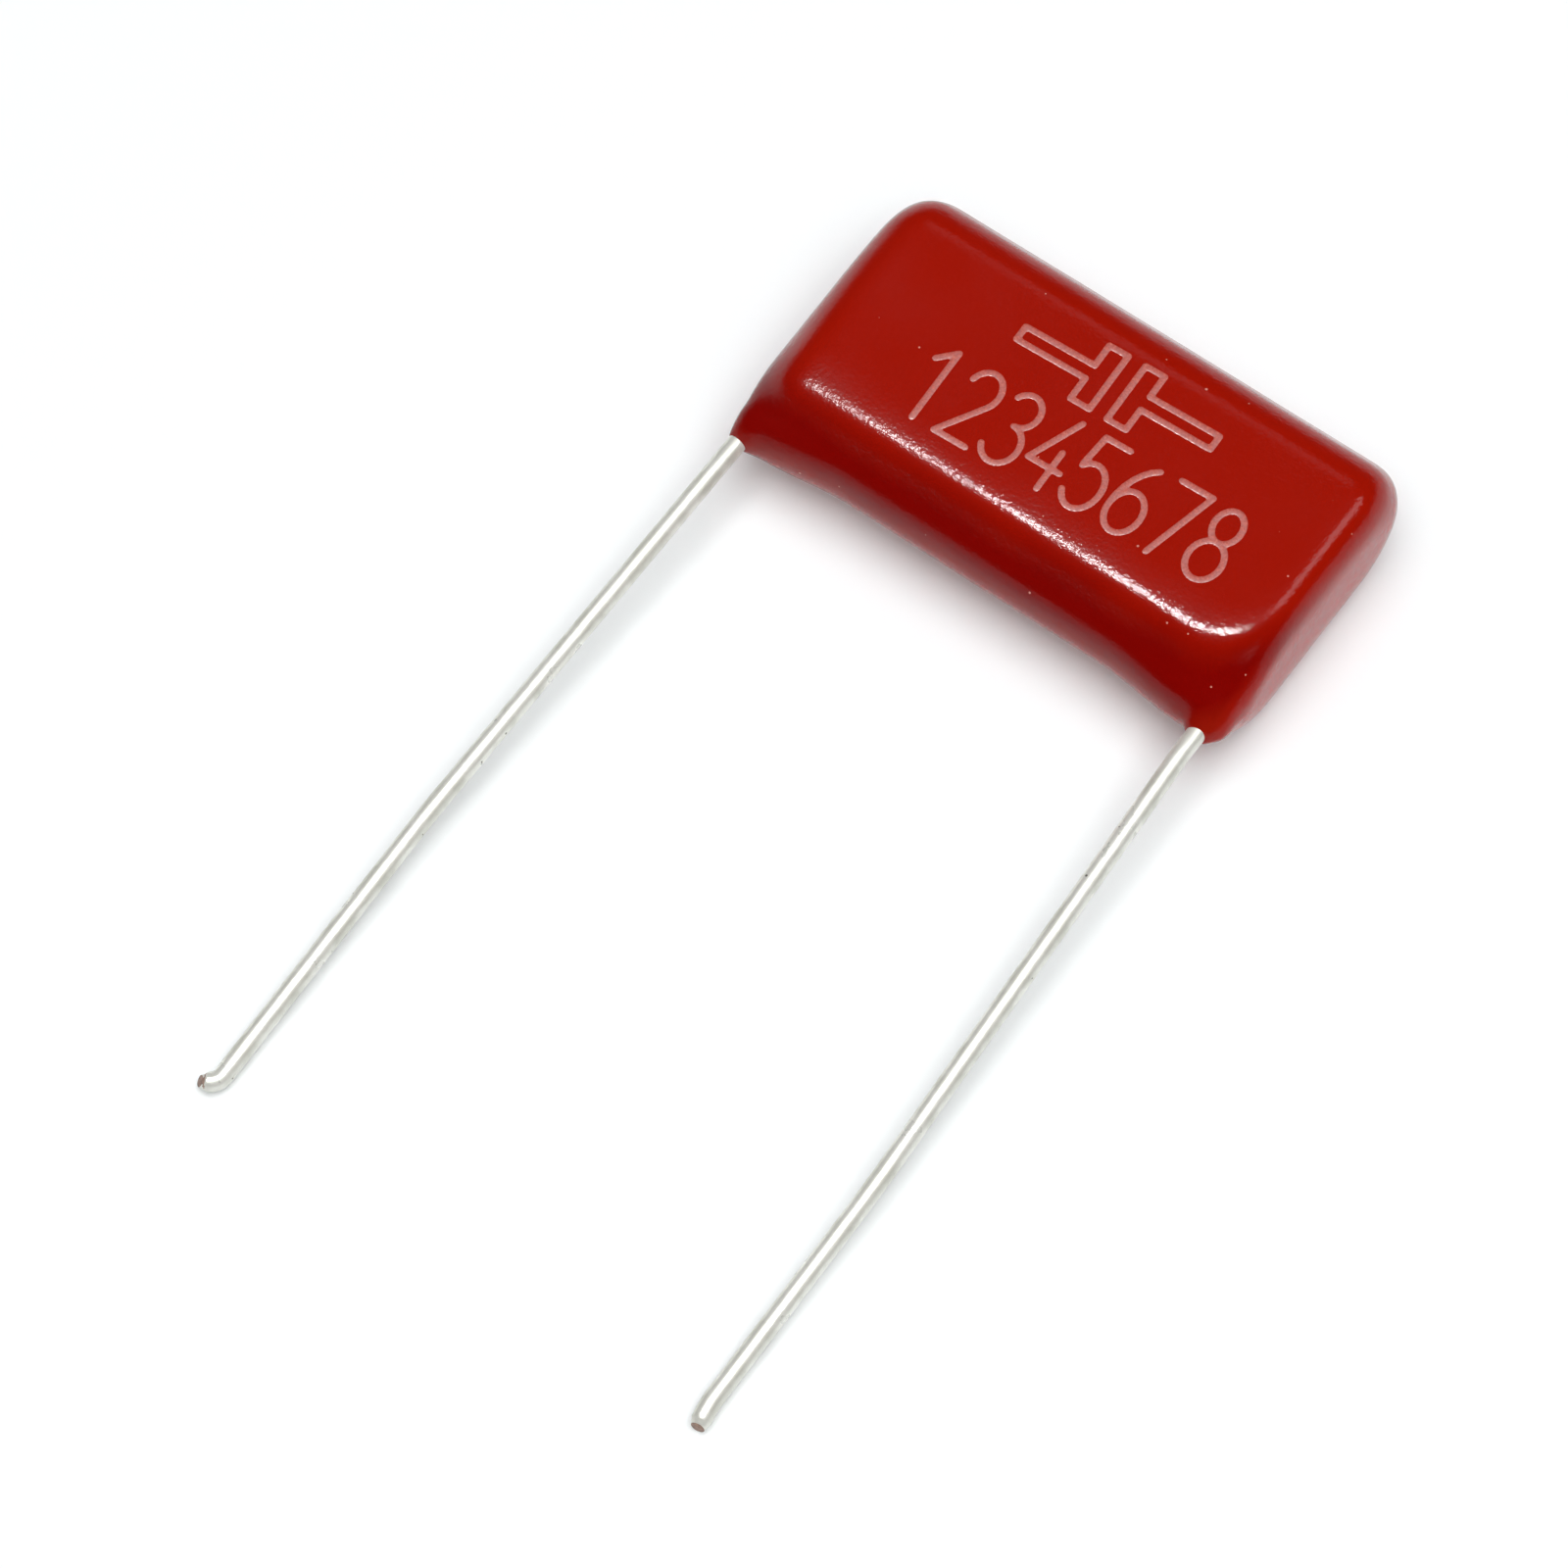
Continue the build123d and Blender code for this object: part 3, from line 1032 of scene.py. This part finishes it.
def add_lamp(name, directions, distance, spread, radiance):
    """Adds a lamp that faces the part: a round one, or a strip between two directions."""
    width = 2 * distance * math.tan(spread)
    middle = sum(directions, Vector()).normalized()
    along = directions[-1] - directions[0]
    bpy.ops.object.light_add(type="AREA")
    lamp = bpy.context.object
    lamp.name = name
    lamp.data.size = width
    if along.length:
        lamp.data.shape = "RECTANGLE"
        lamp.data.size, lamp.data.size_y = width + along.length * distance, width
        area = lamp.data.size * lamp.data.size_y
    else:
        lamp.data.shape = "DISK"
        along = middle.orthogonal()
        area = math.pi * width**2 / 4
    lamp.data.energy = radiance * math.pi * area
    across = along.normalized()
    lamp.matrix_world = Matrix((across, middle.cross(across), middle)).transposed().to_4x4()
    lamp.location = middle * distance
    return lamp


class CAPACITOR_OT_stage(Operator):
    """Adds the floor, the lamps, the studio round them and the camera"""

    bl_idname = "capacitor.stage"
    bl_label = "Stage"

    def execute(self, context):
        stage = context.scene.capacitor_stage
        begin()
        bpy.ops.mesh.primitive_plane_add(size=FLOOR_SIZE)
        floor = context.object
        floor.name = "floor"
        floor.data.materials.append(white_floor(stage))
        studio_world()

        soft = towards(stage.soft_azimuth, stage.soft_elevation)
        rim = towards(stage.rim_azimuth, stage.rim_elevation)
        haze = towards(stage.haze_azimuth, stage.haze_elevation)
        key_ends = [
            towards(stage.key_azimuth, stage.key_elevation),
            towards(stage.key_end_azimuth, stage.key_end_elevation),
        ]
        lamp = add_lamp(
            "soft_lamp", [soft], stage.lamp_distance, stage.soft_spread, stage.soft_radiance
        )
        lamp.visible_glossy = False
        lamp = add_lamp(
            "rim_lamp", [rim], stage.lamp_distance, stage.rim_spread, stage.rim_radiance
        )
        lamp.visible_diffuse = False
        lamp = add_lamp(
            "haze_lamp", [haze], stage.lamp_distance, stage.haze_spread, stage.haze_radiance
        )
        lamp.visible_diffuse = False
        lamp = add_lamp(
            "key_lamp", key_ends, stage.lamp_distance, stage.key_spread, stage.key_radiance
        )
        lamp.visible_diffuse = False

        back = towards(stage.azimuth, stage.elevation)
        right = Vector((math.cos(stage.azimuth), math.sin(stage.azimuth), 0))
        turned = Matrix.Rotation(stage.roll, 3, back)
        across = turned @ right
        upward = back.cross(across)
        place = Matrix((across, upward, back)).transposed().to_4x4()
        place.translation = Vector((stage.target_x, stage.target_y, 0)) + back * stage.distance
        bpy.ops.object.camera_add()
        camera = context.object
        camera.matrix_world = place
        camera.data.lens = stage.focal_length
        camera.data.sensor_width = 36.0
        camera.data.clip_start = 0.01
        camera.data.clip_end = 10.0
        context.scene.camera = camera
        context.scene.view_settings.view_transform = "Standard"
        return {"FINISHED"}


class CAPACITOR_PT_panel(Panel):
    """Lists the capacitor's pieces and stage"""

    bl_idname = "CAPACITOR_PT_panel"
    bl_label = "Capacitor"
    bl_space_type = "VIEW_3D"
    bl_region_type = "UI"
    bl_category = "Capacitor"

    def draw(self, context):
        for operator in OPERATORS:
            self.layout.operator(operator.bl_idname)


SETTINGS = {
    "capacitor_coat": CoatSettings,
    "capacitor_lead": LeadSettings,
    "capacitor_marking": MarkingSettings,
    "capacitor_inner": InnerSettings,
    "capacitor_stage": StageSettings,
}
OPERATORS = (
    CAPACITOR_OT_coat,
    CAPACITOR_OT_leads,
    CAPACITOR_OT_marking,
    CAPACITOR_OT_inner_pieces,
    CAPACITOR_OT_stage,
)


def register():
    for group in SETTINGS.values():
        bpy.utils.register_class(group)
    for name, group in SETTINGS.items():
        setattr(bpy.types.Scene, name, PointerProperty(type=group))
    for operator in OPERATORS:
        bpy.utils.register_class(operator)
    bpy.utils.register_class(CAPACITOR_PT_panel)


def unregister():
    bpy.utils.unregister_class(CAPACITOR_PT_panel)
    for operator in reversed(OPERATORS):
        bpy.utils.unregister_class(operator)
    for name, group in SETTINGS.items():
        delattr(bpy.types.Scene, name)
        bpy.utils.unregister_class(group)


def main():
    register()
    bpy.ops.capacitor.coat()
    bpy.ops.capacitor.leads()
    bpy.ops.capacitor.marking()
    bpy.ops.capacitor.inner_pieces()
    bpy.ops.capacitor.stage()


if __name__ == "__main__":
    main()
